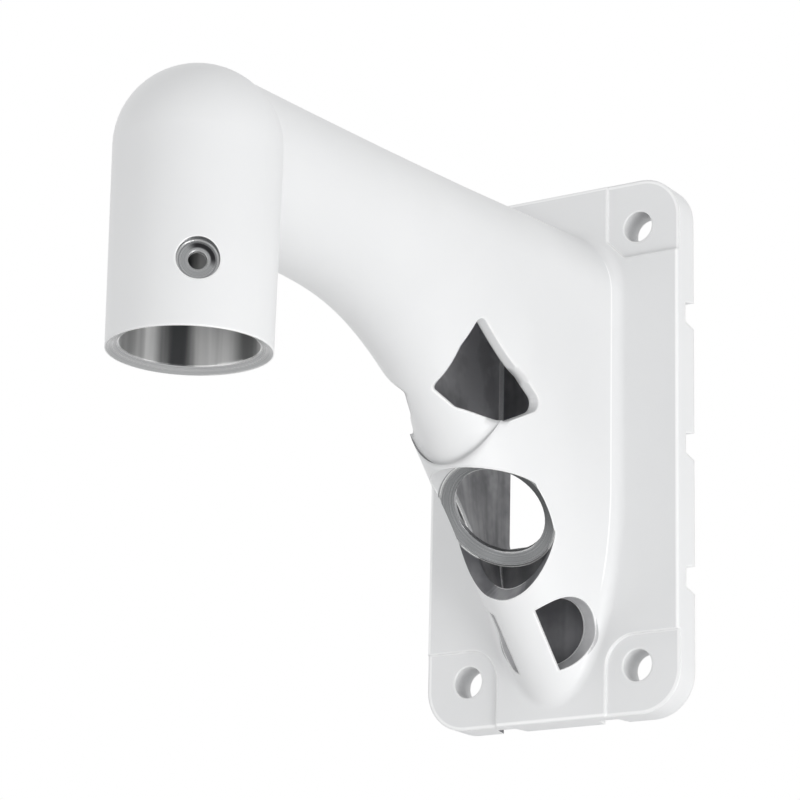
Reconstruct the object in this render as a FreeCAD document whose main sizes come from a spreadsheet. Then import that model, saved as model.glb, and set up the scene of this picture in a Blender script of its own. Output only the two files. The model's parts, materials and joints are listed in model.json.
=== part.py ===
# Camera wall bracket: one aluminium casting.
#
# A shallow plate screws to the wall. A hollow arm leaves it, runs out almost level, and turns down through a
# round elbow into a socket, where the camera's tube goes in from below. Under the arm, at the plate, the walls
# close into a keel that looks like a ship's bow. A slanted ring in the keel lets a cable or a conduit in.
#
# Frame: origin at the centre of the plate's back face, +Z up, +X to the right seen from the room, and the arm
# goes towards -Y. All sizes are millimetres.

import FreeCAD, Part
import math
import os
import Sketcher

V = FreeCAD.Vector

doc = FreeCAD.newDocument("camera_wall_bracket")

# The driving sizes.

SIZES = [
    ("plate_width", 94),
    ("plate_height", 180),
    ("plate_depth", 11),
    ("plate_wall", 4),            # front wall of the plate
    ("skirt_wall", 3.6),          # the plate's rim, which stands back to the wall
    ("plate_corner", 14.2),
    ("plate_edge_round", 0.9),
    ("screws_across", 63),
    ("screws_up", 148),
    ("screw_hole", 10.5),
    ("screw_post", 18.5),         # round post behind each screw hole
    ("pad_sink", 1),              # each screw pad lies this much below the plate's front
    ("pad_side", 20.3),           # inner edges of the pads, from the middle
    ("pad_level", 63.7),
    ("pad_corner", 10.5),
    ("pad_cut", 6.5),             # slanted inner corner of the two upper pads
    ("notch_long", 9),
    ("notch_deep", 5.9),
    ("side_notch_pitch", 44.5),
    ("side_notch_drop", 1.5),
    ("foot_notch_pitch", 38),
    ("reach", 212),             # wall to the socket's axis
    ("wall", 3.5),                # casting's wall in the arm and the keel
    ("keel_wall", 5.5),           # the keel is thicker along its line
    ("half_at_wall", 24.3),       # half width of the arm at the plate, and at the elbow
    ("half_at_elbow", 21.2),
    ("crown_at_wall", 76),      # height of the arm's back
    ("crown_at_elbow", 63.3),
    ("crown_sag", 1.2),
    ("side_straight", 1),
    ("keel_line", 96),            # the keel's lowest line is Y + Z = -keel_line
    ("keel_bow", 69),             # how far up the keel's sides curve, at the wall and at the keel's end
    ("keel_bow_at_kink", 45),
    ("kink_out", 71),             # the keel block ends here, on a leaning face
    ("kink_drop", 4),
    ("kink_lean", 17.9),
    ("crown_drop_at_kink", 1.3),  # arm's back at the leaning face, below its height at the wall
    ("under_drop_at_kink", 15.9),
    ("under_at_elbow", 18.5),
    ("elbow_radius", 24.2),
    ("elbow_centre", 39.4),
    ("rim_radius", 23.5),
    ("rim_drop", 20.4),           # socket's lower rim, below the origin
    ("socket_bore", 39.4),
    ("socket_deep", 42),
    ("socket_lead", 3.3),         # wide chamfer at the mouth
    ("socket_lead_deep", 1.8),
    ("throat_radius", 18.5),      # hollow of the elbow, above the socket's shoulder
    ("lock_turn", 40),            # the locking hole's turn from straight ahead
    ("lock_drop", 1),
    ("lock_hole", 5.2),
    ("lock_face", 12),
    ("lock_face_deep", 2.3),
    ("ring_out", 44.16),
    ("ring_drop", 27.44),
    ("ring_bore", 31.2),
    ("ring_wall", 4.4),
    ("ring_lead", 2),             # from the bore's rim out to the ring's front edge
    ("ring_land", 1.5),           # straight part of the ring's bore
    ("ring_deep", 3.5),           # from the rim back to the ring's back edge
    ("nose_wall_top", 31),        # the plate stays closed behind the keel, below this much under the origin
    ("pocket_top", 24.8),         # radius of the round pocket at the keel's lowest line
    ("pocket_rise", 1.7),         # how far the pocket's middle has risen there
    ("back_opening_half", 22.3),  # the opening in the back, behind the ring, and its rim
    ("back_opening_top", 10),
    ("back_opening_corner", 5),
    ("back_rim", 3.5),
    ("side_window_round", 3.2),
    ("foot_window_out", 24),
    ("foot_window_drop", 65),
    ("foot_window", 23.6),
    ("foot_window_skin", 2.4),    # what stays between the foot window and the keel's line
    ("root_round", 3.5),
]

# The side windows' corners in the side view: how far out from the wall, and how high.

SIDE_WINDOW = [
    ("window_top", 90.3, 22.8),
    ("window_brow", 94.5, 11.5),
    ("window_tip", 94.2, 0.2),
    ("window_low", 85, -4.6),
    ("window_sag", 70, -7),
    ("window_near", 54.5, 1.2),
]

# The underside between the kink and the elbow: share of the way, and share of the drop that is left.

UNDERSIDE = [(0.13, 0.6), (0.235, 0.335), (0.38, 0.105), (0.55, 0.018), (0.80, 0.028), (1.0, 0.030)]

sheet = doc.addObject("Spreadsheet::Sheet", "Sizes")
rows = list(SIZES)
for corner, out, up in SIDE_WINDOW:
    rows.append((corner + "_out", out))
    rows.append((corner + "_up", up))
for row, (name, value) in enumerate(rows, start=1):
    sheet.set(f"A{row}", name)
    sheet.set(f"B{row}", str(value))
    sheet.setAlias(f"B{row}", name)
doc.recompute()
NAMES = sorted((name for name, value in rows), key=len, reverse=True)


def bound(text):
    """The text of a formula with each size's name written as the sheet's cell."""
    words = []
    word = ""
    for letter in text + " ":
        if letter.isalnum() or letter == "_":
            word += letter
            continue
        words.append("Sizes." + word if word in NAMES else word)
        words.append(letter)
        word = ""
    return "".join(words).strip()


def number(text):
    """What a formula comes to now."""
    return float(sheet.evalExpression(bound(text)))


def body(name):
    made = doc.addObject("PartDesign::Body", name)
    made.Label = name
    return made


def sketch(owner, role, name, across="0", up="0", out="0", turn_axis=None, turn="0"):
    """A sketch on one of its body's own planes, moved and turned by formulas."""
    made = owner.newObject("Sketcher::SketchObject", name)
    plane = [f for f in owner.Origin.OriginFeatures if f.Role == role][0]
    made.AttachmentSupport = [(plane, "")]
    made.MapMode = "FlatFace"
    if turn_axis is not None:
        made.AttachmentOffset = FreeCAD.Placement(V(0, 0, 0), FreeCAD.Rotation(turn_axis, number(turn)))
        made.setExpression("AttachmentOffset.Rotation.Angle", bound(turn))
    made.setExpression("AttachmentOffset.Base.x", bound(across))
    made.setExpression("AttachmentOffset.Base.y", bound(up))
    made.setExpression("AttachmentOffset.Base.z", bound(out))
    return made


def tie(drawing, kind, *where):
    """A constraint whose last argument is a formula."""
    index = drawing.addConstraint(Sketcher.Constraint(kind, *where[:-1], number(where[-1])))
    drawing.setExpression(f"Constraints[{index}]", bound(where[-1]))


def place(drawing, piece, end, x, y):
    """One point of the drawing at x, y from the sketch's origin."""
    if x == "0":
        drawing.addConstraint(Sketcher.Constraint("PointOnObject", piece, end, -2))
    else:
        tie(drawing, "DistanceX", -1, 1, piece, end, x)
    if y == "0":
        drawing.addConstraint(Sketcher.Constraint("PointOnObject", piece, end, -1))
    else:
        tie(drawing, "DistanceY", -1, 1, piece, end, y)


def polygon(drawing, corners):
    """Straight sides through corners given as pairs of formulas."""
    points = [V(number(x), number(y), 0) for x, y in corners]
    first = drawing.GeometryCount
    count = len(points)
    for i in range(count):
        drawing.addGeometry(Part.LineSegment(points[i], points[(i + 1) % count]), False)
    for i in range(count):
        drawing.addConstraint(
            Sketcher.Constraint("Coincident", first + i, 2, first + (i + 1) % count, 1)
        )
    for i, (x, y) in enumerate(corners):
        place(drawing, first + i, 1, x, y)


def circle(drawing, x, y, across):
    index = drawing.addGeometry(Part.Circle(V(number(x), number(y), 0), V(0, 0, 1), number(across) / 2), False)
    place(drawing, index, 3, x, y)
    tie(drawing, "Diameter", index, across)


def rounded_box(drawing, half_x, half_y, corner):
    """A rectangle about the origin with round corners."""
    a, b, r = number(half_x), number(half_y), number(corner)
    n = drawing.GeometryCount
    ends = [
        (V(-a + r, b, 0), V(a - r, b, 0)),
        (V(a, b - r, 0), V(a, -b + r, 0)),
        (V(a - r, -b, 0), V(-a + r, -b, 0)),
        (V(-a, -b + r, 0), V(-a, b - r, 0)),
    ]
    for start, stop in ends:
        drawing.addGeometry(Part.LineSegment(start, stop), False)
    middles = [(a - r, b - r, 0, 90), (a - r, -b + r, 270, 360), (-a + r, -b + r, 180, 270), (-a + r, b - r, 90, 180)]
    for x, y, low, high in middles:
        ring = Part.Circle(V(x, y, 0), V(0, 0, 1), r)
        drawing.addGeometry(Part.ArcOfCircle(ring, math.radians(low), math.radians(high)), False)
    for side in (0, 2):
        drawing.addConstraint(Sketcher.Constraint("Horizontal", n + side))
    for side in (1, 3):
        drawing.addConstraint(Sketcher.Constraint("Vertical", n + side))
    for line, end, arc, tip in [(0, 2, 4, 2), (1, 1, 4, 1), (1, 2, 5, 2), (2, 1, 5, 1),
                                (2, 2, 6, 2), (3, 1, 6, 1), (3, 2, 7, 2), (0, 1, 7, 1)]:
        drawing.addConstraint(Sketcher.Constraint("Tangent", n + line, end, n + arc, tip))
    for arc in (5, 6, 7):
        drawing.addConstraint(Sketcher.Constraint("Equal", n + 4, n + arc))
    tie(drawing, "Radius", n + 4, corner)
    tie(drawing, "DistanceX", -1, 1, n + 1, 1, half_x)
    tie(drawing, "DistanceY", -1, 1, n + 0, 1, half_y)
    tie(drawing, "DistanceX", n + 3, 1, -1, 1, half_x)
    tie(drawing, "DistanceY", n + 2, 1, -1, 1, half_y)


def bow(drawing, half, centre, belly, lowest):
    """
    The section of the arm and the keel: a half circle on top, short straight sides, and a half ellipse below
    them, which is nearly round at the elbow and as sharp as a ship's bow at the wall. All joints are tangent.
    """
    w, c, e, low = [number(text) for text in (half, centre, belly, lowest)]
    tip, side = V(0, low, 0), V(w, e, 0)
    if e - low > w:
        ends = (-math.pi / 2, math.pi / 2)
        hull = Part.Ellipse(tip, side, V(0, e, 0))
    else:
        ends = (math.pi, 2 * math.pi)
        hull = Part.Ellipse(side, tip, V(0, e, 0))
    drawing.addGeometry(Part.ArcOfCircle(Part.Circle(V(0, c, 0), V(0, 0, 1), w), 0, math.pi), False)
    drawing.addGeometry(Part.LineSegment(V(-w, c, 0), V(-w, e, 0)), False)
    drawing.addGeometry(Part.ArcOfEllipse(hull, *ends), False)
    drawing.addGeometry(Part.LineSegment(V(w, e, 0), V(w, c, 0)), False)
    for one, end, other, start in [(0, 2, 1, 1), (1, 2, 2, 1), (2, 2, 3, 1), (3, 2, 0, 1)]:
        drawing.addConstraint(Sketcher.Constraint("Tangent", one, end, other, start))
    drawing.addConstraint(Sketcher.Constraint("Vertical", 1))
    drawing.addConstraint(Sketcher.Constraint("Vertical", 3))
    place(drawing, 0, 3, "0", centre)
    tie(drawing, "Radius", 0, half)
    tie(drawing, "DistanceY", -1, 1, 1, 2, belly)
    tie(drawing, "DistanceY", -1, 1, 3, 1, belly)
    mark = drawing.addGeometry(Part.Point(tip), True)
    place(drawing, mark, 1, "0", lowest)
    drawing.addConstraint(Sketcher.Constraint("PointOnObject", mark, 1, 2))


def loft(owner, name, sections, ruled=False, cut=False):
    made = owner.newObject("PartDesign::SubtractiveLoft" if cut else "PartDesign::AdditiveLoft", name)
    made.Profile = sections[0]
    made.Sections = sections[1:]
    made.Ruled = ruled
    return made


def pad(owner, name, drawing, length, midplane=False, reverse=False):
    made = owner.newObject("PartDesign::Pad", name)
    made.Profile = drawing
    made.setExpression("Length", bound(length))
    made.Midplane = midplane
    made.Reversed = reverse
    return made


def spin(owner, name, drawing, angle=360, midplane=False):
    made = owner.newObject("PartDesign::Revolution", name)
    made.Profile = drawing
    made.ReferenceAxis = (drawing, ["V_Axis"])
    made.Angle = angle
    made.Midplane = midplane
    return made


def way(share):
    """How far out a section stands, from the kink to the socket's axis."""
    return f"(kink_out + {share} * (reach - kink_out))"


def half_width(out, less):
    return f"(half_at_wall - (half_at_wall - half_at_elbow) * {out} / reach - {less})"


def crown(out):
    gone = f"({out} / reach)"
    return f"(crown_at_wall - (crown_at_wall - crown_at_elbow) * {gone} - 4 * crown_sag * {gone} * (1 - {gone}))"


def shell_sections(owner, less, keel_less):
    """
    The sections of the arm and the keel, drawn in by 'less' all round and by 'keel_less' along the keel's line.
    """
    names = owner.Name
    floor = "(plate_depth - plate_wall)"
    root = sketch(owner, "XZ_Plane", names + "Root", out=floor)
    low = f"({floor} - keel_line + 1.41421 * {keel_less})"
    belly = f"({floor} - keel_line + keel_bow)"
    bow(root, half_width(floor, less), f"({crown(floor)} - half_at_wall)", belly, low)

    # The leaning end of the keel block. Heights in this sketch run along the lean.
    lean = "kink_lean * 1 deg"
    half = half_width("kink_out", less)
    centre = f"((crown_at_wall - crown_drop_at_kink - half_at_wall + kink_drop) / cos({lean}))"
    low = f"((kink_out + kink_drop - keel_line) / (cos({lean}) + sin({lean})))"
    kink = sketch(owner, "XZ_Plane", names + "Kink", up="-kink_drop", out="kink_out",
                  turn_axis=V(1, 0, 0), turn="-kink_lean")
    bow(kink, half, centre, f"({low} + keel_bow_at_kink)", f"({low} + 1.12 * {keel_less})")

    arm = [kink]
    for index, (share, left) in enumerate(UNDERSIDE):
        out = way(share)
        centre = f"({crown(out)} - {half_width(out, '0')})"
        low = f"(under_at_elbow - (under_at_elbow + kink_drop + under_drop_at_kink) * {left} + {less})"
        cut = sketch(owner, "XZ_Plane", f"{names}Arm{index + 1}", out=out)
        bow(cut, half_width(out, less), centre, f"({centre} - side_straight)", low)
        arm.append(cut)
    return [root, kink], arm


# The outer form.

form = body("OuterForm")
outline = sketch(form, "XZ_Plane", "PlateOutline")
rounded_box(outline, "plate_width / 2", "plate_height / 2", "plate_corner")
plate = pad(form, "Plate", outline, "plate_depth")
doc.recompute()


def edges_where(shape, test):
    return [f"Edge{i}" for i, edge in enumerate(shape.Edges, start=1) if test(edge)]


def all_at(edge, level):
    """Whether the whole edge lies this far out from the wall."""
    box = edge.BoundBox
    return abs(box.YMin + level) < 0.001 and abs(box.YMax + level) < 0.001


brow = form.newObject("PartDesign::Fillet", "PlateEdgeRound")
brow.Base = (plate, edges_where(plate.Shape, lambda edge: all_at(edge, number("plate_depth"))))
brow.setExpression("Radius", bound("plate_edge_round"))
form.Tip = brow

keel_sections, arm_sections = shell_sections(form, "0", "0")
loft(form, "KeelForm", keel_sections, ruled=True)
loft(form, "ArmForm", arm_sections)

neck = sketch(form, "XZ_Plane", "NeckProfile", out="reach")
ball = Part.Circle(V(0, number("elbow_centre"), 0), V(0, 0, 1), number("elbow_radius"))
neck.addGeometry(Part.ArcOfCircle(ball, 0, math.pi / 2), False)
top = V(0, number("elbow_centre + elbow_radius"), 0)
foot = V(0, -number("rim_drop"), 0)
edge = V(number("rim_radius"), -number("rim_drop"), 0)
cheek = V(number("elbow_radius"), number("elbow_centre"), 0)
neck.addGeometry(Part.LineSegment(top, foot), False)
neck.addGeometry(Part.LineSegment(foot, edge), False)
neck.addGeometry(Part.LineSegment(edge, cheek), False)
for one, end, other, start in [(0, 2, 1, 1), (1, 2, 2, 1), (2, 2, 3, 1), (3, 2, 0, 1)]:
    neck.addConstraint(Sketcher.Constraint("Coincident", one, end, other, start))
place(neck, 0, 3, "0", "elbow_centre")
place(neck, 0, 1, "elbow_radius", "elbow_centre")
place(neck, 1, 2, "0", "-rim_drop")
neck.addConstraint(Sketcher.Constraint("PointOnObject", 1, 1, -2))
place(neck, 2, 2, "rim_radius", "-rim_drop")
spin(form, "Neck", neck)
doc.recompute()

# Four screw pads lie a little below the plate's front. The lower pads have a round inner corner, and the upper
# ones a slanted corner that clears the arm's root.

pads = sketch(form, "XZ_Plane", "ScrewPads", out="plate_depth")
far_x = "(plate_width / 2 + 5)"
far_z = "(plate_height / 2 + 5)"
polygon(pads, [
    ("pad_side", far_z),
    (far_x, far_z),
    (far_x, "pad_level"),
    ("pad_side + pad_cut", "pad_level"),
    ("pad_side", "pad_level + pad_cut"),
])
x0, z0, r0 = number("pad_side"), -number("pad_level"), number("pad_corner")
x1, z1 = number(far_x), -number(far_z)
n = pads.GeometryCount
pads.addGeometry(Part.LineSegment(V(x0, z1, 0), V(x0, z0 - r0, 0)), False)
bend = Part.Circle(V(x0 + r0, z0 - r0, 0), V(0, 0, 1), r0)
pads.addGeometry(Part.ArcOfCircle(bend, math.pi / 2, math.pi), False)
pads.addGeometry(Part.LineSegment(V(x0 + r0, z0, 0), V(x1, z0, 0)), False)
pads.addGeometry(Part.LineSegment(V(x1, z0, 0), V(x1, z1, 0)), False)
pads.addGeometry(Part.LineSegment(V(x1, z1, 0), V(x0, z1, 0)), False)
pads.addConstraint(Sketcher.Constraint("Tangent", n, 2, n + 1, 2))
pads.addConstraint(Sketcher.Constraint("Tangent", n + 1, 1, n + 2, 1))
pads.addConstraint(Sketcher.Constraint("Coincident", n + 2, 2, n + 3, 1))
pads.addConstraint(Sketcher.Constraint("Coincident", n + 3, 2, n + 4, 1))
pads.addConstraint(Sketcher.Constraint("Coincident", n + 4, 2, n, 1))
tie(pads, "Radius", n + 1, "pad_corner")
place(pads, n, 1, "pad_side", "-" + far_z)
place(pads, n + 3, 1, far_x, "-pad_level")
place(pads, n + 3, 2, far_x, "-" + far_z)
pads.addConstraint(Sketcher.Constraint("Vertical", n))
pads.addConstraint(Sketcher.Constraint("Horizontal", n + 2))
sink = form.newObject("PartDesign::Pocket", "PadSink")
sink.Profile = pads
sink.setExpression("Length", bound("pad_sink"))
both = form.newObject("PartDesign::Mirrored", "PadSinkBoth")
both.Originals = [sink]
side_plane = [f for f in form.Origin.OriginFeatures if f.Role == "YZ_Plane"][0]
both.MirrorPlane = (side_plane, [""])
form.Tip = both
doc.recompute()


def at_root(edge):
    """The arm's and the keel's own line on the plate's front."""
    box = edge.BoundBox
    flat = all_at(edge, number("plate_depth"))
    inside = max(abs(box.XMin), abs(box.XMax)) < number("half_at_wall") + 0.5
    curved = abs(box.XMax - box.XMin) > 0.001 or abs(box.XMax) > number("half_at_wall") - 0.5
    within = box.ZMax < number("crown_at_wall") + 0.5 and box.ZMin > 0.5 - number("plate_height / 2")
    return flat and inside and curved and within


root = form.newObject("PartDesign::Fillet", "RootRound")
root.Base = (both, edges_where(both.Shape, at_root))
root.setExpression("Radius", bound("root_round"))
form.Tip = root
doc.recompute()


# The core: everything the casting is hollow of, open at the plate's back and at the socket.

core = body("Core")
tray = sketch(core, "XZ_Plane", "TrayOutline")
rounded_box(tray, "plate_width / 2 - skirt_wall", "plate_height / 2 - skirt_wall", "plate_corner - skirt_wall")
for x in ("screws_across / 2", "-screws_across / 2"):
    for z in ("screws_up / 2", "-screws_up / 2"):
        circle(tray, x, z, "screw_post")
pad(core, "Tray", tray, "plate_depth - plate_wall")
keel_core, arm_core = shell_sections(core, "wall", "keel_wall")
loft(core, "KeelCore", keel_core, ruled=True)
loft(core, "ArmCore", arm_core)

bore = sketch(core, "XZ_Plane", "SocketProfile", out="reach")
polygon(bore, [
    ("0", "-rim_drop"),
    ("socket_bore / 2 + socket_lead", "-rim_drop"),
    ("socket_bore / 2", "socket_lead_deep - rim_drop"),
    ("socket_bore / 2", "socket_deep - rim_drop"),
    ("throat_radius", "socket_deep - rim_drop"),
    ("throat_radius", "crown_at_elbow - half_at_elbow"),
    ("0", "crown_at_elbow - half_at_elbow"),
])
spin(core, "Socket", bore)
dome = sketch(core, "XZ_Plane", "DomeProfile", up="crown_at_elbow - half_at_elbow", out="reach")
dome_r = number("throat_radius")
dome.addGeometry(Part.ArcOfCircle(Part.Circle(V(0, 0, 0), V(0, 0, 1), dome_r), 0, math.pi / 2), False)
dome.addGeometry(Part.LineSegment(V(0, dome_r, 0), V(0, 0, 0)), False)
dome.addGeometry(Part.LineSegment(V(0, 0, 0), V(dome_r, 0, 0)), False)
for one, end, other, start in [(0, 2, 1, 1), (1, 2, 2, 1), (2, 2, 0, 1)]:
    dome.addConstraint(Sketcher.Constraint("Coincident", one, end, other, start))
dome.addConstraint(Sketcher.Constraint("Coincident", 0, 3, -1, 1))
dome.addConstraint(Sketcher.Constraint("PointOnObject", 0, 2, -2))
dome.addConstraint(Sketcher.Constraint("PointOnObject", 0, 1, -1))
dome.addConstraint(Sketcher.Constraint("Coincident", 1, 2, -1, 1))
tie(dome, "Radius", 0, "throat_radius")
spin(core, "Dome", dome)

# The slanted ring. In its sketches +Y looks down and out along the ring's axis, and +X is its upper side.


def ring_sketch(owner, name):
    return sketch(owner, "YZ_Plane", name, across="-ring_out", up="-ring_drop", turn_axis=V(0, 0, 1), turn="135")


ring_edge = "(ring_bore / 2 + ring_wall)"
to_keel = "((keel_line - ring_out - ring_drop) / 1.41421)"
ring = body("RingMetal")
collar = ring_sketch(ring, "CollarProfile")
polygon(collar, [("0", "-ring_deep"), (ring_edge, "-ring_deep"), (ring_edge, "ring_lead"), ("0", "ring_lead")])
spin(ring, "Collar", collar)
cone = ring_sketch(ring, "PocketWallProfile")
polygon(cone, [
    ("0", "-ring_deep"),
    (f"{ring_edge} + wall / 2", "-ring_deep"),
    (f"{ring_edge} + wall", "ring_lead"),
    ("pocket_top + wall", to_keel),
    ("0", to_keel),
])
spin(ring, "PocketWall", cone, angle=180, midplane=True)

# What is cut out last: the pocket round the ring with its bore, the windows, the holes and the notches.

cuts = body("Openings")
mouth = ring_sketch(cuts, "RingPocketProfile")
polygon(mouth, [
    ("0", "-ring_deep - 1"),
    ("ring_bore / 2 + ring_deep + 1 - ring_land", "-ring_deep - 1"),
    ("ring_bore / 2", "-ring_land"),
    ("ring_bore / 2", "0"),
    (f"{ring_edge} - 0.8", "ring_lead"),
    ("0", "ring_lead"),
])
spin(cuts, "RingBore", mouth)

# The pocket widens from the ring's front edge to the keel's line and beyond, and leans up a little.


def ring_plane(owner, name, along):
    """A sketch square to the ring's axis, this far along it."""
    return sketch(owner, "XZ_Plane", name, up=f"-ring_drop - {along} / 1.41421", out=f"ring_out + {along} / 1.41421",
                  turn_axis=V(1, 0, 0), turn="45")


past = f"(1.7 * {to_keel})"
share = f"(({past} - ring_lead) / ({to_keel} - ring_lead))"
floor_ring = ring_plane(cuts, "PocketFloor", "ring_lead")
circle(floor_ring, "0", "0", f"2 * {ring_edge}")
mouth_ring = ring_plane(cuts, "PocketMouth", past)
circle(mouth_ring, "0", f"pocket_rise * {share}", f"2 * ({ring_edge} + (pocket_top - {ring_edge}) * {share})")
loft(cuts, "RingPocket", [floor_ring, mouth_ring], ruled=True)

window = body("SideWindow")
pane = sketch(window, "YZ_Plane", "SideWindowShape")
polygon(pane, [("-" + corner + "_out", corner + "_up") for corner, out, up in SIDE_WINDOW])
sharp = pad(window, "SideWindowPad", pane, "2 * half_at_wall + 20", midplane=True)
doc.recompute()


def along_x(edge):
    box = edge.BoundBox
    return box.XMax - box.XMin > number("half_at_wall") and box.YMax - box.YMin < 0.001


soft = window.newObject("PartDesign::Fillet", "SideWindowRound")
soft.Base = (sharp, edges_where(sharp.Shape, along_x))
soft.setExpression("Radius", bound("side_window_round"))
window.Tip = soft

# The foot window is round, and cut straight along the keel's line so that a strip of the keel stays whole.

foot_window = body("FootWindow")
eye = sketch(foot_window, "YZ_Plane", "FootWindowShape")
circle(eye, "-foot_window_out", "-foot_window_drop", "foot_window")
pad(foot_window, "FootWindowPad", eye, "2 * half_at_wall + 20", midplane=True)
strip = sketch(foot_window, "YZ_Plane", "KeelStrip")
line = "(1.41421 * foot_window_skin - keel_line)"
polygon(strip, [
    ("0", line),
    (f"{line} / 2 - 50", f"{line} / 2 + 50"),
    (f"{line} / 2 - 100", f"{line} / 2"),
    ("-50", f"{line} - 50"),
])
off = foot_window.newObject("PartDesign::Pocket", "KeelStripKept")
off.Profile = strip
off.setExpression("Length", bound("2 * half_at_wall + 30"))
off.Midplane = True
foot_window.Tip = off

# The locking screw's hole and its spot face, in the side of the socket.

lock = body("LockingHole")
spot_out = "(rim_radius - lock_face_deep)"
hole = sketch(lock, "XZ_Plane", "LockingHoleShape", up="-lock_drop", out="reach", turn_axis=V(0, 1, 0), turn="lock_turn")
circle(hole, "0", "0", "lock_hole")
pad(lock, "LockingHolePad", hole, "rim_radius + 5")
face = sketch(
    lock, "XZ_Plane", "SpotFaceShape", across=f"{spot_out} * sin(lock_turn * 1 deg)", up="-lock_drop",
    out=f"reach + {spot_out} * cos(lock_turn * 1 deg)", turn_axis=V(0, 1, 0), turn="lock_turn",
)
circle(face, "0", "0", "lock_face")
pad(lock, "SpotFace", face, "2 * lock_face_deep + 3")

screws = body("ScrewHoles")
spots = sketch(screws, "XZ_Plane", "ScrewHoleShape", out="-1")
for x in ("screws_across / 2", "-screws_across / 2"):
    for z in ("screws_up / 2", "-screws_up / 2"):
        circle(spots, x, z, "screw_hole")
pad(screws, "ScrewHolePad", spots, "plate_depth + 2")

# Notches in the back edge of the rim let a surface cable in and let water out.


def notch(y_of, z_of):
    """A notch's four corners: wide at the wall, a little narrower at its floor."""
    return [
        y_of("1", "(notch_long / 2 + 0.3)"),
        y_of("1", "(-notch_long / 2 - 0.3)"),
        y_of("-notch_deep", "(1.2 - notch_long / 2)"),
        y_of("-notch_deep", "(notch_long / 2 - 1.2)"),
    ]


side_notches = body("SideNotches")
cut_sides = sketch(side_notches, "YZ_Plane", "SideNotchShape", out="plate_width / 2 - skirt_wall - 1")
for pitch in ("side_notch_pitch", "0", "-side_notch_pitch"):
    polygon(cut_sides, notch(lambda y, z: (y, f"{pitch} - side_notch_drop + {z}"), None))
right_notches = pad(side_notches, "SideNotchPad", cut_sides, "skirt_wall + 6")
left_notches = side_notches.newObject("PartDesign::Mirrored", "SideNotchesLeft")
left_notches.Originals = [right_notches]
left_notches.MirrorPlane = ([f for f in side_notches.Origin.OriginFeatures if f.Role == "YZ_Plane"][0], [""])
side_notches.Tip = left_notches
foot_notches = body("FootNotches")
cut_foot = sketch(foot_notches, "XY_Plane", "FootNotchShape", out="1 + skirt_wall - plate_height / 2")
for pitch in ("foot_notch_pitch / 2", "-foot_notch_pitch / 2"):
    polygon(cut_foot, notch(lambda y, x: (f"{pitch} + {x}", y), None))
pad(foot_notches, "FootNotchPad", cut_foot, "skirt_wall + 6", reverse=True)
doc.recompute()

# The casting is the form less its core. The ring's metal is taken out of the core first, so that it stays in
# the casting, and then each opening is cut.


def less(name, base, tool):
    made = doc.addObject("Part::Cut", name)
    made.Base = base
    made.Tool = tool
    return made


nose_wall = doc.addObject("Part::Box", "WallBehindKeel")
nose_wall.setExpression("Length", bound("2 * half_at_wall"))
nose_wall.setExpression("Width", bound("plate_wall"))
nose_wall.setExpression("Height", bound("plate_height / 2 - nose_wall_top"))
nose_wall.setExpression("Placement.Base.x", bound("-half_at_wall"))
nose_wall.setExpression("Placement.Base.y", bound("-plate_depth"))
nose_wall.setExpression("Placement.Base.z", bound("-plate_height / 2"))
# The opening in the back lies behind the ring. Its rim reaches the wall, and above it the plate is closed.

above = doc.addObject("Part::Box", "WallAboveOpening")
above.setExpression("Length", bound("2 * half_at_wall"))
above.setExpression("Width", bound("plate_wall"))
above.setExpression("Height", bound("plate_height / 2 - back_opening_top"))
above.setExpression("Placement.Base.x", bound("-half_at_wall"))
above.setExpression("Placement.Base.y", bound("-plate_depth"))
above.setExpression("Placement.Base.z", bound("back_opening_top"))


def doorway(owner, name, wider):
    """The opening's outline, this much wider all round."""
    height = "((back_opening_top + nose_wall_top) / 2)"
    made = sketch(owner, "XZ_Plane", name, up="(back_opening_top - nose_wall_top) / 2")
    rounded_box(made, f"(back_opening_half + {wider})", f"({height} + {wider})", f"(back_opening_corner + {wider})")
    return made


rim = body("BackRim")
pad(rim, "BackRimPad", doorway(rim, "BackRimShape", "back_rim"), "plate_depth - plate_wall")
opening = body("BackOpening")
pad(opening, "BackOpeningPad", doorway(opening, "BackOpeningShape", "0"), "plate_depth")
doc.recompute()

core_round_ring = less("CoreRoundRing", core, ring)
core_short = less("CoreAboveWall", core_round_ring, nose_wall)
core_closed = less("CoreUnderWall", core_short, above)
core_in_rim = less("CoreInRim", core_closed, rim)
bracket = form
for tool in (window, foot_window, lock, screws, side_notches, foot_notches):
    bracket = less("FormLess" + tool.Name, bracket, tool)
bracket = less("HollowCasting", bracket, core_in_rim)
bracket = less("CastingOpenAtBack", bracket, opening)
bracket = less("CastingLess" + cuts.Name, bracket, cuts)
bracket.Label = "wall_bracket"
bracket.Placement = FreeCAD.Placement(V(0, 0, 0), FreeCAD.Rotation())
doc.recompute()

# Every step has to have worked before anything is written.

for thing in doc.Objects:
    if "Invalid" in thing.State or "Error" in thing.State:
        raise RuntimeError(f"{thing.Name} failed: {thing.State}")
SUBPARTS = [bracket]
os.makedirs("parts", exist_ok=True)
for part in SUBPARTS:
    shape = part.Shape
    if shape.isNull() or not shape.isValid():
        raise RuntimeError(f"{part.Label} has no valid shape")
    shape.exportStep(os.path.join("parts", part.Label + ".step"))
    box = shape.BoundBox
    print(f"{part.Label}: {len(shape.Solids)} solid, {shape.Volume / 1000:.1f} cm3,"
          f" {box.XLength:.1f} x {box.YLength:.1f} x {box.ZLength:.1f} mm")
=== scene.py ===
# %% [markdown]
# # A camera wall bracket, painted and photographed
#
# The real object is one aluminium casting: a shallow plate that screws to a wall, a hollow arm, and a
# round socket that points down. It was cast, machined bright in a few places, and painted white outside.
# The shape comes from the CAD model, and it stays as it is. This lesson gives that shape its finishes:
# satin paint outside, raw casting inside, and bright metal where a cutter has been.

import json
import math

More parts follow.
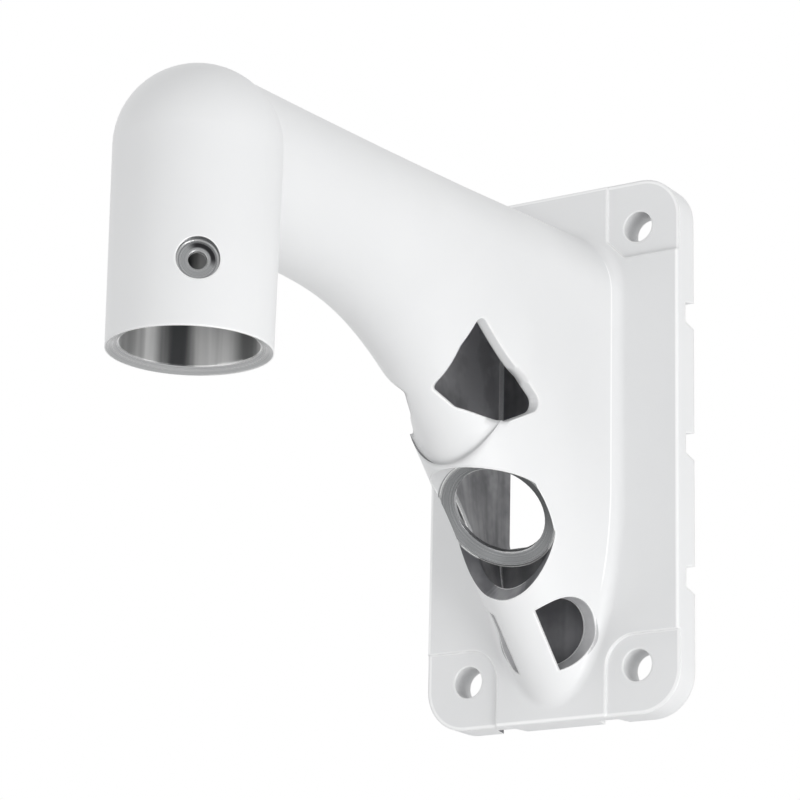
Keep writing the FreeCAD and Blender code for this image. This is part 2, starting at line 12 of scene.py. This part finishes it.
import bpy
import numpy as np
from mathutils import Matrix, Vector

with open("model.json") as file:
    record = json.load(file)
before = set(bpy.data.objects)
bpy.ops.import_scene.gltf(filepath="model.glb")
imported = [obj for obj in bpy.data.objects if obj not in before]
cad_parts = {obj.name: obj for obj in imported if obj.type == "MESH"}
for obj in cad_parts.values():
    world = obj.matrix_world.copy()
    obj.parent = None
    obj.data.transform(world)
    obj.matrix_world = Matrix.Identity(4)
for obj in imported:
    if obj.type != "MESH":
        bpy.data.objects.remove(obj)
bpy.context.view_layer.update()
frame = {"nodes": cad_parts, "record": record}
casting = frame["nodes"]["wall_bracket"]
print("casting:", len(casting.data.polygons), "triangles")

# %% [markdown]
# ## Writing shader maths as plain formulas
#
# A finish is a formula: how far a point is from the socket's axis, how grainy the paint is there. Blender
# wants one node for each plus and minus. A small class that wraps a socket lets Python write those nodes:
# an expression such as `1 - mask` adds its Math node by itself. Most formulas here are masks, which are
# soft steps between 0 and 1, so the class has words for steps as well.

# %% A socket that understands + - * / and steps


class Socket:
    """One output of a node tree. Sums, products and quotients of sockets add Math nodes."""

    def __init__(self, sheet, output):
        self.sheet, self.output = sheet, output

    def math(self, operation, *others):
        return self.sheet.node("ShaderNodeMath", {"operation": operation}, (self, *others))

    def __add__(self, other):
        return self.math("ADD", other)

    def __sub__(self, other):
        return self.math("SUBTRACT", other)

    def __mul__(self, other):
        return self.math("MULTIPLY", other)

    def __truediv__(self, other):
        return self.math("DIVIDE", other)

    def __rsub__(self, other):
        return self.sheet.node("ShaderNodeMath", {"operation": "SUBTRACT"}, (other, self))

    def __abs__(self):
        return self.math("ABSOLUTE")

    __radd__ = __add__
    __rmul__ = __mul__

    def rises(self, start, end):
        """0 before start, 1 after end, and a smooth slope between. It falls where start is the larger."""
        return self.sheet.node(
            "ShaderNodeMapRange", {"interpolation_type": "SMOOTHSTEP"},
            {"Value": self, "From Min": start, "From Max": end},
        )

    def below(self, limit, soft):
        """1 below a limit, with a slope of this width just under it."""
        return self.rises(limit, limit - soft)

    def above(self, limit, soft):
        """1 above a limit, with a slope of this width just over it."""
        return self.rises(limit, limit + soft)

    def either(self, *others):
        """The largest of these masks, which is 1 where any of them is."""
        largest = self
        for other in others:
            largest = largest.math("MAXIMUM", other)
        return largest


print("sockets can now be added, subtracted, multiplied and divided, and turned into masks")

# %% [markdown]
# ## A sheet for each material
#
# A material is a tree of nodes, and each kind of node has its own settings and sockets. One method that
# takes the kind, the settings and the inputs is enough for all of them, and the distances and patterns
# that come back often get a method of their own.

# %% A sheet of nodes for one material


class Sheet:
    """A material's node tree, with one method that adds any node."""

    def __init__(self, name):
        self.material = bpy.data.materials.new(name)
        self.material.use_nodes = True
        self.tree = self.material.node_tree
        self.shader = self.tree.nodes["Principled BSDF"]

    def node(self, kind, settings=None, inputs=(), output=0):
        """Adds a node, sets its settings first, then the values or links of its sockets."""
        made = self.tree.nodes.new(kind)
        for key, value in (settings or {}).items():
            setattr(made, key, value)
        pairs = inputs.items() if isinstance(inputs, dict) else enumerate(inputs)
        for key, value in pairs:
            self.feed(made.inputs[key], value)
        return Socket(self, made.outputs[output])

    def feed(self, target, value):
        """Links a socket to a target, or sets the target to a plain value."""
        if isinstance(value, Socket):
            self.tree.links.new(value.output, target)
        else:
            target.default_value = value

    def finish(self, **sockets):
        """Feeds the shader's sockets, whose names are written with underscores."""
        for name, value in sockets.items():
            self.feed(self.shader.inputs[name.replace("_", " ")], value)

    def place(self):
        """The point on the object, in metres."""
        return self.node("ShaderNodeTexCoord", output="Object")

    def parts(self, vector):
        """The vector's x, y and z."""
        split = self.node("ShaderNodeSeparateXYZ", {}, (vector,)).output.node
        return [Socket(self, out) for out in split.outputs]

    def vectors(self, operation, *inputs, output=0):
        """One Vector Math node."""
        return self.node("ShaderNodeVectorMath", {"operation": operation}, inputs, output)

    def along(self, point, start, direction):
        """How far the point lies along a line, from its start."""
        away = self.vectors("SUBTRACT", point, start)
        return self.vectors("DOT_PRODUCT", away, direction, output="Value")

    def offset(self, point, start, direction):
        """The shortest way from a line to the point: its offset without the part along the line."""
        away = self.vectors("SUBTRACT", point, start)
        return self.vectors("SUBTRACT", away, self.vectors("PROJECT", away, direction))

    def aside(self, point, start, direction):
        """How far the point is from a line."""
        return self.vectors("LENGTH", self.offset(point, start, direction), output="Value")

    def squeezed(self, point, factors):
        """The point with its x, y and z scaled. A small factor draws a pattern out along its direction."""
        return self.vectors("MULTIPLY", point, factors)

    def grain(self, point, per_metre, detail=2.0, roughness=0.5):
        """A cloudy pattern between 0 and 1, with this many clouds in a metre."""
        inputs = {"Vector": point, "Scale": per_metre, "Detail": detail, "Roughness": roughness}
        return self.node("ShaderNodeTexNoise", {}, inputs)

    def blend(self, share, first, second):
        """The first colour where share is 0, and the second where it is 1."""
        colours_in, colour_out = (6, 7), 2
        inputs = {"Factor": share, colours_in[0]: first, colours_in[1]: second}
        return self.node("ShaderNodeMix", {"data_type": "RGBA"}, inputs, colour_out)


print("a material sheet adds any node with one method")

# %% [markdown]
# ## Where a cutter has been
#
# Some places on the casting are bare metal. The socket's bore and its rim were turned in a lathe so that a
# tube slides in. The locking screw's hole was drilled, with a flat milled round it. The ring under the arm
# was bored for a conduit, and the two lower windows were milled out. Each is a round shape about a line,
# so its mask is a distance from that line. The CAD model names three of the lines as mounts. The fourth
# runs from side to side through the keel's foot, where the two lower windows are.

# %% The lines of the machined places
mounts = {mount["name"]: mount for mount in frame["record"]["mounts"]}
MM = 0.001


def line_of(name):
    """A mount's place and direction, as two tuples."""
    mount = mounts[name]
    return tuple(mount["pos_m"]), tuple(Vector(mount["axis"]).normalized())


socket_line = line_of("camera_socket")
ring_line = line_of("cable_ring")
lock_line = line_of("locking_hole")
foot_line = ((0, -24 * MM, -65 * MM), (1, 0, 0))
print("socket", socket_line, "ring", ring_line, "lock", lock_line, "lower windows", foot_line)

# %% [markdown]
# ## The finish
#
# One material covers the casting, because it is one piece of metal and the paint's edge is only a line on
# it. Masks say where the cutters were and where the spray gun could not reach. Three things tell what the
# gun missed. A side wall of the hollow faces the casting's middle plane, which no outer wall does. The
# back wall of the hollow lies inside the keel's bow-shaped foot. A deep corner is shut in, which an
# ambient occlusion node measures.

# %% Where a point is and which way its face looks
sheet = Sheet("painted_casting")
point = sheet.place()
x, y, z = sheet.parts(point)
facing = sheet.node("ShaderNodeNewGeometry", output="True Normal")
facing_x, facing_y, facing_z = sheet.parts(facing)
beside = abs(x)


def looks_away(line):
    """How much a face looks away from a line: 1 straight away, -1 straight towards it, 0 along it."""
    away_x, away_y, away_z = sheet.parts(sheet.offset(point, *line))
    return (facing_x * away_x + facing_y * away_y + facing_z * away_z) / sheet.aside(point, *line)


print("point, face direction, and a face's turn to a line")

# %% Masks of the bare metal
CUT_EDGE = 0.15 * MM
FLAT_RADIUS, FLAT_OUT = 6.2 * MM, 19.9 * MM
RIM_RADIUS, BORE_RADIUS, BORE_TOP = 23.35 * MM, 20.1 * MM, 22.5 * MM
RING_RADIUS, RING_BACK, RING_FRONT = 20.1 * MM, -7 * MM, 3.4 * MM

from_lock = sheet.aside(point, *lock_line)
past_axis = sheet.along(point, socket_line[0], lock_line[1])
milled = from_lock.below(FLAT_RADIUS, CUT_EDGE) * past_axis.above(FLAT_OUT, 0.3 * MM)

from_socket = sheet.aside(point, *socket_line)
turned = from_socket.below(RIM_RADIUS, CUT_EDGE) * z.below(BORE_TOP, 1 * MM) * (1 - milled)
bore = from_socket.below(BORE_RADIUS, 0.2 * MM) * turned

from_ring = sheet.aside(point, *ring_line)
ring_depth = sheet.along(point, *ring_line)
at_ring = ring_depth.above(RING_BACK, 1 * MM) * ring_depth.below(RING_FRONT, 0.3 * MM)
bored = from_ring.below(RING_RADIUS, CUT_EDGE) * at_ring * looks_away(ring_line).below(0.6, 0.2)
bare = turned.either(milled, bored)
print("masks: milled flat, turned socket and bored ring")

# %% Masks of the pocket round the ring and of the lower windows
POCKET_RADIUS, POCKET_PLAY = 22.6 * MM, 2.8 * MM
FOOT_RADIUS, FOOT_PLAY = 11.8 * MM, 0.7 * MM
DOWN_THE_SLANT = (0, 0.7071, -0.7071)


def turned_inward(line, radius, play):
    """1 on a wall that looks towards a line from about this distance."""
    distance = sheet.aside(point, *line)
    near = distance.below(radius + play, play / 10) * distance.above(radius - play, play / 10)
    return looks_away(line).below(-0.35, 0.25) * near


below_ring = sheet.along(point, ring_line[0], DOWN_THE_SLANT)
pocket = turned_inward(ring_line, POCKET_RADIUS, POCKET_PLAY)
pocket = pocket * ring_depth.above(-4 * MM, 1 * MM) * below_ring.above(-2 * MM, 5 * MM)
foot_cut = turned_inward(foot_line, FOOT_RADIUS, FOOT_PLAY) * beside.below(26 * MM, 1 * MM)
print("masks: the pocket round the ring, and the milled lower windows")

# %% Masks of what the spray gun missed
HOLLOW_HALF_WIDE = 25.2 * MM
BOW_START, BOW_LONG, BOW_HALF_WIDE = -27 * MM, 51 * MM, 19 * MM
BACK_WALL_Y, BACK_WALL_TOP = -14.5 * MM, 55 * MM
OCCLUSION_DISTANCE = 50 * MM

# Above the ring the hollow is open to the gun from the front, so its walls are painted there.
inwards = (facing_x * x.math("SIGN")).below(-0.15, 0.2)
above_ring = ring_depth.above(3 * MM, 1 * MM) * below_ring.below(3 * MM, 5 * MM)
before_ring = above_ring * from_ring.below(28 * MM, 1 * MM)
inner_wall = inwards * beside.below(HOLLOW_HALF_WIDE, 0.2 * MM) * (1 - before_ring)

down_bow = (z - BOW_START).math("MINIMUM", 0.0) / BOW_LONG
across_bow = x / BOW_HALF_WIDE
in_bow = (down_bow * down_bow + across_bow * across_bow).below(1.0, 0.04)
back_wall = in_bow * y.above(BACK_WALL_Y, 1 * MM) * z.below(BACK_WALL_TOP, 1 * MM)
back_wall = back_wall * facing_y.below(-0.2, 0.3)

occlusion = sheet.node("ShaderNodeAmbientOcclusion", {"samples": 12}, {"Distance": OCCLUSION_DISTANCE}, "AO")
shut_in = occlusion.below(0.42, 0.22) * (1 - before_ring)
raw_place = pocket.either(foot_cut, inner_wall, back_wall, shut_in) * (1 - bare)
paint_place = 1 - bare - raw_place
print("each point is paint, raw casting or cut metal")

# %% [markdown]
# ## Edges
#
# An edge shows as a thin bright line, which is a highlight painted into the colour. The casting's mesh has
# sharp edges, and it must not change. A Bevel node bends the normal near an edge as if it were round, which
# the light shows, and how far it bends the normal marks where the edge is. The bend where the arm meets the
# keel is wider, and the edges inside the hollow are sharper.

# %% Rounded edges
EDGE_ROUND, KINK_ROUND, HOLLOW_ROUND = 1.15 * MM, 3.65 * MM, 0.2 * MM
KINK, KINK_NORMAL = (0, -71 * MM, -4 * MM), (0, 0.952, -0.307)

off_kink = abs(sheet.along(point, KINK, KINK_NORMAL))
at_kink = off_kink.below(4 * MM, 1.5 * MM) * (1 - raw_place)
rounding = EDGE_ROUND + (KINK_ROUND - EDGE_ROUND) * at_kink - (EDGE_ROUND - HOLLOW_ROUND) * inner_wall
soft_normal = sheet.node("ShaderNodeBevel", {"samples": 8}, {"Radius": rounding})
straightness = sheet.vectors("DOT_PRODUCT", soft_normal, facing, output="Value")
# This edge mask places the painted highlight along each edge.
edge = straightness.below(0.985, 0.055) * (1 - at_kink) * (1 - inner_wall)
print("edges rounded by", round(EDGE_ROUND / MM, 2), "mm, and", round(KINK_ROUND / MM, 2), "mm at the kink")

# %% [markdown]
# ## Painted highlights on the plate
#
# Two round edges are too soft for the bevel to find: the plate's own front edge, and the line where the
# arm's sides turn into the fillet at the plate. Both get a thin painted highlight in their colour. The
# distance from the plate's edge is a formula: past a rectangle's straight parts it is the long side of a
# right triangle. The fillet starts at one distance from the wall.

# %% The plate's edge and the arm's root
PLATE_HALF_WIDE, PLATE_HALF_HIGH, PLATE_CORNER = 47 * MM, 90 * MM, 14.2 * MM
PLATE_FRONT, EDGE_INSET, FILLET_OUT = -9.6 * MM, 0.75 * MM, -14.4 * MM


def long_side(*legs):
    """The long side of a right triangle with these legs."""
    return sum(leg * leg for leg in legs).math("SQRT")


def thin_line(distance, half_width):
    """1 where a distance is near 0."""
    return abs(distance).below(half_width * 1.6, half_width)


past_side = (beside - (PLATE_HALF_WIDE - PLATE_CORNER)).math("MAXIMUM", 0.0)
past_end = (abs(z) - (PLATE_HALF_HIGH - PLATE_CORNER)).math("MAXIMUM", 0.0)
# Painted highlight: a thin bright line inside the plate's front edge, and one where the arm's root starts.
plate_edge = thin_line(long_side(past_side, past_end) - (PLATE_CORNER - EDGE_INSET), 0.4 * MM)
plate_edge = plate_edge * y.below(PLATE_FRONT, 0.5 * MM) * facing_y.below(-0.3, 0.3)
root_edge = thin_line(y - FILLET_OUT, 0.32 * MM) * beside.above(20 * MM, 2 * MM) * z.below(66 * MM, 8 * MM)
plate_highlights = plate_edge.either(root_edge)
print("outlines of the plate and of the arm's root")

# %% [markdown]
# ## Colour of the paint and of the raw casting
#
# The paint is a plain pale grey with hardly any clouds in it, with a painted highlight along each edge.
# Raw casting is dark and mottled, with runs down the walls, and painted shade makes it darker the deeper it
# lies. High up in the hollow it is paler with painted light, where light comes in through the side windows.

# %% Paint
PAINT = (0.800, 0.803, 0.806, 1)
PAINT_CLOUD = (0.772, 0.776, 0.780, 1)
EDGE_HIGHLIGHT = (0.96, 0.96, 0.96, 1)

clouds = sheet.grain(point, 16, 3).rises(0.3, 0.75)
paint = sheet.blend(clouds, PAINT, PAINT_CLOUD)
# Painted highlight along the edges and along the plate's outlines.
paint = sheet.blend(edge.either(plate_highlights), paint, EDGE_HIGHLIGHT)
print("paint from", PAINT[:3], "to", PAINT_CLOUD[:3])

# %% Raw casting
RAW = (0.17, 0.17, 0.18, 1)
RAW_LIGHT = (0.36, 0.36, 0.37, 1)
# RAW_SHADE is painted shade for the hollow's foot, the deep pocket and deep corners.
RAW_SHADE = (0.075, 0.076, 0.084, 1)
# RAW_LIT is painted light, for the hollow's upper walls where light comes in through the windows.
RAW_LIT = (0.78, 0.78, 0.80, 1)
RAW_MILLED = (0.62, 0.62, 0.63, 1)

grit = sheet.grain(point, 420, 3, 0.6)
mottle = sheet.grain(point, 70, 3, 0.6)
runs = sheet.grain(sheet.squeezed(point, (1, 1, 0.08)), 190, 2)
raw = sheet.blend((0.5 * runs + 0.5 * mottle).rises(0.34, 0.66), RAW, RAW_LIGHT)

# Painted shade: darker towards the foot, down the pocket round the ring, and in every deep corner.
foot_of_hollow = inner_wall.either(back_wall) * z.rises(-44 * MM, -54 * MM)
raw = sheet.blend(0.6 * foot_of_hollow, raw, RAW_SHADE)
raw = sheet.blend(0.7 * pocket * ring_depth.rises(16 * MM, 2 * MM), raw, RAW_SHADE)
raw = sheet.blend(occlusion.rises(0.34, 0.03), raw, RAW_SHADE)

# Painted light: paler high in the hollow above the kink. Lighter where a cutter was, and a painted
# highlight along the windows' edges.
lit_high_up = 0.75 * z.rises(-6 * MM, 22 * MM) + 0.35 * sheet.grain(point, 60, 3, 0.6).rises(0.44, 0.62)
raw = sheet.blend(lit_high_up * inner_wall * z.rises(-16 * MM, -8 * MM), raw, RAW_LIT)
raw = sheet.blend(foot_cut * (0.3 + 0.5 * mottle), raw, RAW_MILLED)
raw = sheet.blend(edge * (1 - occlusion.rises(0.3, 0.1)), raw, EDGE_HIGHLIGHT)
print("raw casting from", RAW_SHADE[:3], "to", RAW_LIT[:3])

# %% [markdown]
# ## Colour of the cut metal
#
# Cut metal is streaked the way the cutter went: up and down the bore, which was honed, and round the rim,
# the ring and the flat. A pattern squeezed along one direction gives the streaks, and a pattern that
# reads only the distance from the axis gives the rings. Broad dark bands up the bore, each at its own
# heading, are painted reflections. The flat gets a painted shadow on one side of the hole, which is a
# mask of its own: a half ring round the lock's line.

# %% The honed bore, with painted reflections
METAL = (0.90, 0.90, 0.895, 1)
METAL_DARK = (0.07, 0.072, 0.075, 1)
# Painted reflections: at each heading in degrees, a dark band's half width, soft edge and strength.
REFLECTION_BANDS = {-48: (2, 18, 1.0), 20: (5, 18, 0.75), -100: (6, 20, 0.6)}

honed = sheet.grain(sheet.squeezed(point, (1, 1, 0.05)), 260, 2)


def reflection_band(heading, half_width, soft):
    """A painted dark reflection up the bore, dark in the middle. The heading and both widths are in
    degrees.
    """
    way = (math.sin(math.radians(heading)), math.cos(math.radians(heading)), 0)
    lean = sheet.along(point, socket_line[0], way) / from_socket + 0.04 * (honed - 0.5)
    return lean.rises(math.cos(math.radians(half_width + soft)), math.cos(math.radians(half_width)))


darkest, *paler = [
    strength * reflection_band(heading, half_width, soft)
    for heading, (half_width, soft, strength) in REFLECTION_BANDS.items()
]
bands = darkest.either(*paler)
bands = bands + 0.2 * honed.rises(0.4, 0.65) * (1 - bands)
# Painted reflections and the honing streaks darken the bright bore metal.
bore_metal = sheet.blend(bands, METAL, METAL_DARK)
print("honed bore with", len(REFLECTION_BANDS), "dark bands")

# %% The rim, the ring's lip and the flat
METAL_EDGE_HIGHLIGHT = (0.96, 0.96, 0.95, 1)
RIM = (0.60, 0.60, 0.60, 1)
RIM_DARK = (0.47, 0.475, 0.48, 1)
LIP = (0.34, 0.345, 0.35, 1)
LIP_DARK = (0.25, 0.255, 0.26, 1)
FLAT = (0.38, 0.385, 0.39, 1)
FLAT_DARK = (0.22, 0.225, 0.23, 1)
FLAT_SHADOW = (0.02, 0.02, 0.022, 1)
SHADOW_SIDE = (0.46, 0.386, 0.8)
RINGS_PER_METRE = 2600

from_axis = from_socket * turned + from_lock * milled + from_ring * bored
rings_of_cut = sheet.node(
    "ShaderNodeTexNoise", {"noise_dimensions": "1D"}, {"W": from_axis, "Scale": RINGS_PER_METRE}
)
cut = rings_of_cut.rises(0.3, 0.7)
# Painted shadow: the flat is near black in a half ring on one side of the hole.
on_shadow_side = (sheet.along(point, lock_line[0], SHADOW_SIDE) / from_lock).rises(0.1, 0.75)
flat_shadow = on_shadow_side * from_lock.above(3.3 * MM, 0.6 * MM) * from_lock.below(5.3 * MM, 0.6 * MM)

flat_metal = sheet.blend(flat_shadow, sheet.blend(cut, FLAT, FLAT_DARK), FLAT_SHADOW)
lip_metal = sheet.blend(cut, LIP, LIP_DARK)
rim_metal = sheet.blend(cut, RIM, RIM_DARK)
metal = sheet.blend(bored, sheet.blend(turned, flat_metal, rim_metal), lip_metal)
metal = sheet.blend(bore, metal, bore_metal)
# Painted highlight: a bright line along the cut metal's edges, fainter on the flat.
metal_edge_highlight = edge * (1 - 0.75 * milled)
metal = sheet.blend(metal_edge_highlight, metal, METAL_EDGE_HIGHLIGHT)
colour = sheet.blend(bare, sheet.blend(raw_place, paint, raw), metal)
print("cut metal, and the colour of the whole casting")

# %% [markdown]
# ## Sheen and relief
#
# Satin paint spreads a highlight wider than cut metal does, and raw casting spreads it most. The same
# masks say how rough each place is and how much it is metal. A Bump node adds the paint's fine peel, the
# casting's grit and the cutter's rings, and starts from the rounded normal, so edges stay soft.

# %% Sheen
sheen = sheet.grain(point, 45, 2)
rough = paint_place * (0.38 + 0.08 * sheen) + raw_place * (0.5 + 0.2 * grit)
rough = rough + bare * (0.22 + 0.14 * rings_of_cut)
metallic = (0.8 * bare - 0.35 * bore + 0.3 * raw_place) * (1 - metal_edge_highlight)
print("sheen follows the same masks")

# %% Relief
RELIEF_HIGH = 0.4 * MM

peel = sheet.grain(point, 420, 2)
height = 0.05 * peel * paint_place + 0.6 * grit * raw_place + 0.08 * rings_of_cut * bare
relief = sheet.node(
    "ShaderNodeBump", {},
    {"Strength": 0.35, "Distance": RELIEF_HIGH, "Height": height, "Normal": soft_normal},
)
sheet.finish(Base_Color=colour, Roughness=rough, Metallic=metallic, Normal=relief)
casting.data.materials.clear()
casting.data.materials.append(sheet.material)
print("finish:", len(sheet.tree.nodes), "nodes")

# %% [markdown]
# ## The studio
#
# The bracket hangs with white all round it, as in a catalogue. The floor lies well below, and only catches
# light and a soft shadow. The white comes from the world as the camera sees it, not from more light on the
# paint: the world is white for the camera's own rays and in mirror reflections, and plainer for the rest.

# %% Floor
FLOOR_LEVEL, FLOOR_HALF = -0.9, 4.0


def square(name, half, level):
    """A level square. Its corners are the four pairs of plus and minus half its side."""
    across = half * np.array([-1, 1, 1, -1])
    deep = half * np.array([-1, -1, 1, 1])
    corners = np.stack([across, deep, np.full(4, level)], axis=1)
    mesh = bpy.data.meshes.new(name)
    mesh.from_pydata(corners.tolist(), [], [(0, 1, 2, 3)])
    made = bpy.data.objects.new(name, mesh)
    bpy.context.scene.collection.objects.link(made)
    return made


floor = square("floor", FLOOR_HALF, FLOOR_LEVEL)
floor_sheet = Sheet("floor_paper")
floor_grain = floor_sheet.grain(floor_sheet.place(), 3.0)
floor_colour = floor_sheet.blend(floor_grain, (0.86, 0.86, 0.86, 1), (0.83, 0.83, 0.83, 1))
floor_sheet.finish(Base_Color=floor_colour, Roughness=0.9)
floor.data.materials.append(floor_sheet.material)
print("floor at", floor.data.vertices[0].co.z, "m")

# %% World
AMBIENT_COLOUR, AMBIENT_STRENGTH = (0.99, 0.995, 1.0, 1), 0.72
WHITE_COLOUR, WHITE_STRENGTH = (1, 1, 1, 1), 1.0

world = bpy.data.worlds.new("studio")
bpy.context.scene.world = world
world.use_nodes = True
tree = world.node_tree
ambient = tree.nodes["Background"]
paper = tree.nodes.new("ShaderNodeBackground")
for background, tone, strength in (
    (ambient, AMBIENT_COLOUR, AMBIENT_STRENGTH),
    (paper, WHITE_COLOUR, WHITE_STRENGTH),
):
    background.inputs["Color"].default_value = tone
    background.inputs["Strength"].default_value = strength

rays = tree.nodes.new("ShaderNodeLightPath")
seen = tree.nodes.new("ShaderNodeMath")
seen.operation = "MAXIMUM"
mix = tree.nodes.new("ShaderNodeMixShader")
for source, target in (
    (rays.outputs["Is Camera Ray"], seen.inputs[0]),
    (rays.outputs["Is Glossy Ray"], seen.inputs[1]),
    (seen.outputs[0], mix.inputs[0]),
    (ambient.outputs[0], mix.inputs[1]),
    (paper.outputs[0], mix.inputs[2]),
    (mix.outputs[0], tree.nodes["World Output"].inputs["Surface"]),
):
    tree.links.new(source, target)
print("world: soft light of", AMBIENT_STRENGTH, "and white to the camera and in mirror reflections")

# %% [markdown]
# ## The lamps
#
# Most of the light comes from a soft box low on the right, which lights the arm's underside and leaves the
# left of the socket's tube in a faint shade. Two weak ones, in front and on the left, fill in.

# %% Lamps
AIM = Vector((0, -0.11, 0.0))
# Each lamp's place in metres, the side of its square in metres, and its power in watts.
LAMPS = {
    "right_and_low": ((1.2, -0.5, -0.9), 0.8, 21),
    "front": ((0.2, -1.9, -0.3), 1.2, 1.7),
    "left": ((-1.5, -0.9, 0.2), 1.0, 1.8),
}


def lamp(name, place, side, watts):
    """A square soft box that looks at the bracket."""
    data = bpy.data.lights.new(name, "AREA")
    data.size, data.energy = side, watts
    made = bpy.data.objects.new(name, data)
    made.location = place
    made.rotation_euler = (Vector(place) - AIM).to_track_quat("Z", "Y").to_euler()
    bpy.context.scene.collection.objects.link(made)


for name, (place, side, watts) in LAMPS.items():
    lamp(name, place, side, watts)
print("lamps:", ", ".join(LAMPS))

# %% [markdown]
# ## The camera
#
# The photograph was taken from the right and from below, with a long lens. The angles, the distance and
# the small shift were worked out from the plate's corners and holes, and the camera is built from them:
# its viewing direction, turned by a small roll, and a place so far back that the bracket has its size.

# %% Camera
AZIMUTH, ELEVATION, ROLL = 32.8873, -16.5287, 1.33906
FOCAL_PIXELS, PICTURE, SENSOR = 3171.05, 800, 36
ACROSS, DOWN, AWAY = -0.0560164, -0.0201822, 1.0548674


def photo_camera():
    """The camera's axes: back from azimuth and elevation, right level with the ground, then both rolled."""
    a, e, roll = (math.radians(v) for v in (AZIMUTH, ELEVATION, ROLL))
    back = np.array([math.sin(a) * math.cos(e), -math.cos(a) * math.cos(e), math.sin(e)])
    level = np.cross(-back, (0, 0, 1))
    level /= np.linalg.norm(level)
    up = np.cross(level, -back)
    right = math.cos(roll) * level + math.sin(roll) * up
    above = -math.sin(roll) * level + math.cos(roll) * up
    matrix = np.eye(4)
    matrix[:3, 0], matrix[:3, 1], matrix[:3, 2] = right, above, back
    matrix[:3, 3] = ACROSS * right - DOWN * above + AWAY * back
    return Matrix(matrix.tolist())


eye = bpy.data.cameras.new("photo")
eye.sensor_width = SENSOR
eye.lens = FOCAL_PIXELS * SENSOR / PICTURE
camera = bpy.data.objects.new("photo", eye)
camera.matrix_world = photo_camera()
bpy.context.scene.collection.objects.link(camera)
bpy.context.scene.camera = camera
print("camera at", [round(v, 3) for v in camera.matrix_world.translation], "lens", round(eye.lens, 1), "mm")

# %% Hand over
bpy.context.scene.view_settings.view_transform = "Standard"
